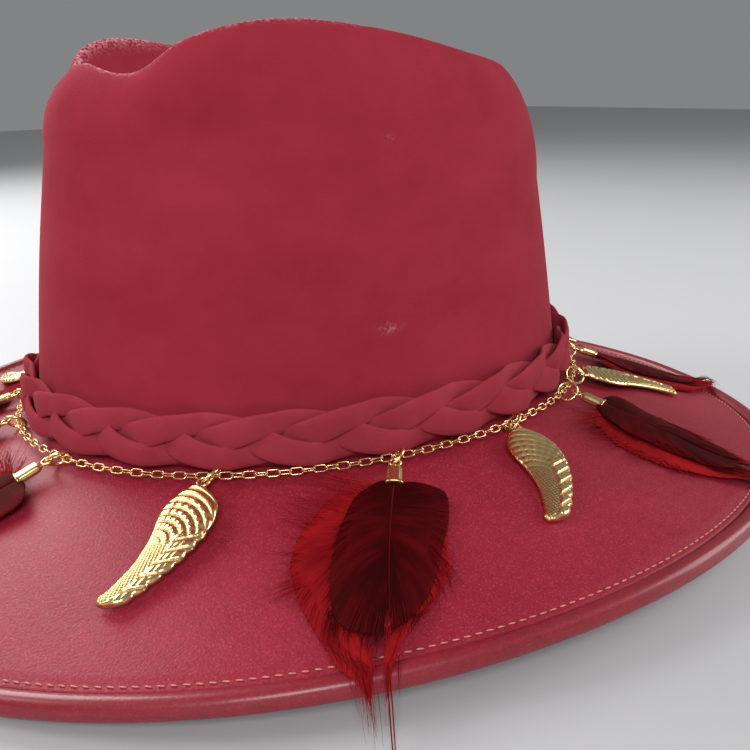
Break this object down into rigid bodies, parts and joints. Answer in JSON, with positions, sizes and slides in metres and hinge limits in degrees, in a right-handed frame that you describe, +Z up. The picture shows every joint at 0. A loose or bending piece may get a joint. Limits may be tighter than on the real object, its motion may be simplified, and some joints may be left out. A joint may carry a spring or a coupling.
{
  "type": "wide-brim fedora hat",
  "caption": "Wide-brim fedora with a teardrop-dented crown, rolled leather brim edge, braided band and a fine chain of wing charms and feather tassels.",
  "frame": {"origin": "centre of the footprint, on the surface that the hat rests on", "axes": "+Z up through the crown; the front of the hat faces -Y; +X is the wearer's left"},
  "size_m": [0.348, 0.38, 0.1632],
  "materials": {
    "crown_suede": "matte burgundy faux suede with faint mottling",
    "brim_leather": "smooth fine-grained burgundy leather with a satin gloss",
    "edge_leather": "padded satin leather, stitched along the inside",
    "braid_suede": "matte burgundy faux suede strands",
    "gold": "polished gold plate with darker grooves",
    "feather_red": "dyed feather, dark maroon vanes and bright red barbs"
  },
  "bodies": {
    "root": {"crown": "crown_suede", "brim": "brim_leather", "brim_edge_roll": "edge_leather", "braid_strand_1": "braid_suede", "braid_strand_2": "braid_suede", "braid_strand_3": "braid_suede", "chain": "gold", "feather_ring_1": "gold", "crimp_1": "gold", "feather_1": "feather_red", "wing_ring_1": "gold", "wing_1": "gold", "feather_ring_2": "gold", "crimp_2": "gold", "feather_2": "feather_red", "wing_ring_2": "gold", "wing_2": "gold", "feather_ring_3": "gold", "crimp_3": "gold", "feather_3": "feather_red", "wing_ring_3": "gold", "wing_3": "gold", "feather_ring_4": "gold", "crimp_4": "gold", "feather_4": "feather_red", "wing_ring_4": "gold", "wing_4": "gold", "feather_ring_5": "gold", "crimp_5": "gold", "feather_5": "feather_red", "wing_ring_5": "gold", "wing_5": "gold", "feather_ring_6": "gold", "crimp_6": "gold", "feather_6": "feather_red", "wing_ring_6": "gold", "wing_6": "gold", "feather_ring_7": "gold", "crimp_7": "gold", "feather_7": "feather_red", "wing_ring_7": "gold", "wing_7": "gold", "feather_ring_8": "gold", "crimp_8": "gold", "feather_8": "feather_red", "wing_ring_8": "gold", "wing_8": "gold"}
  },
  "joints": []
}
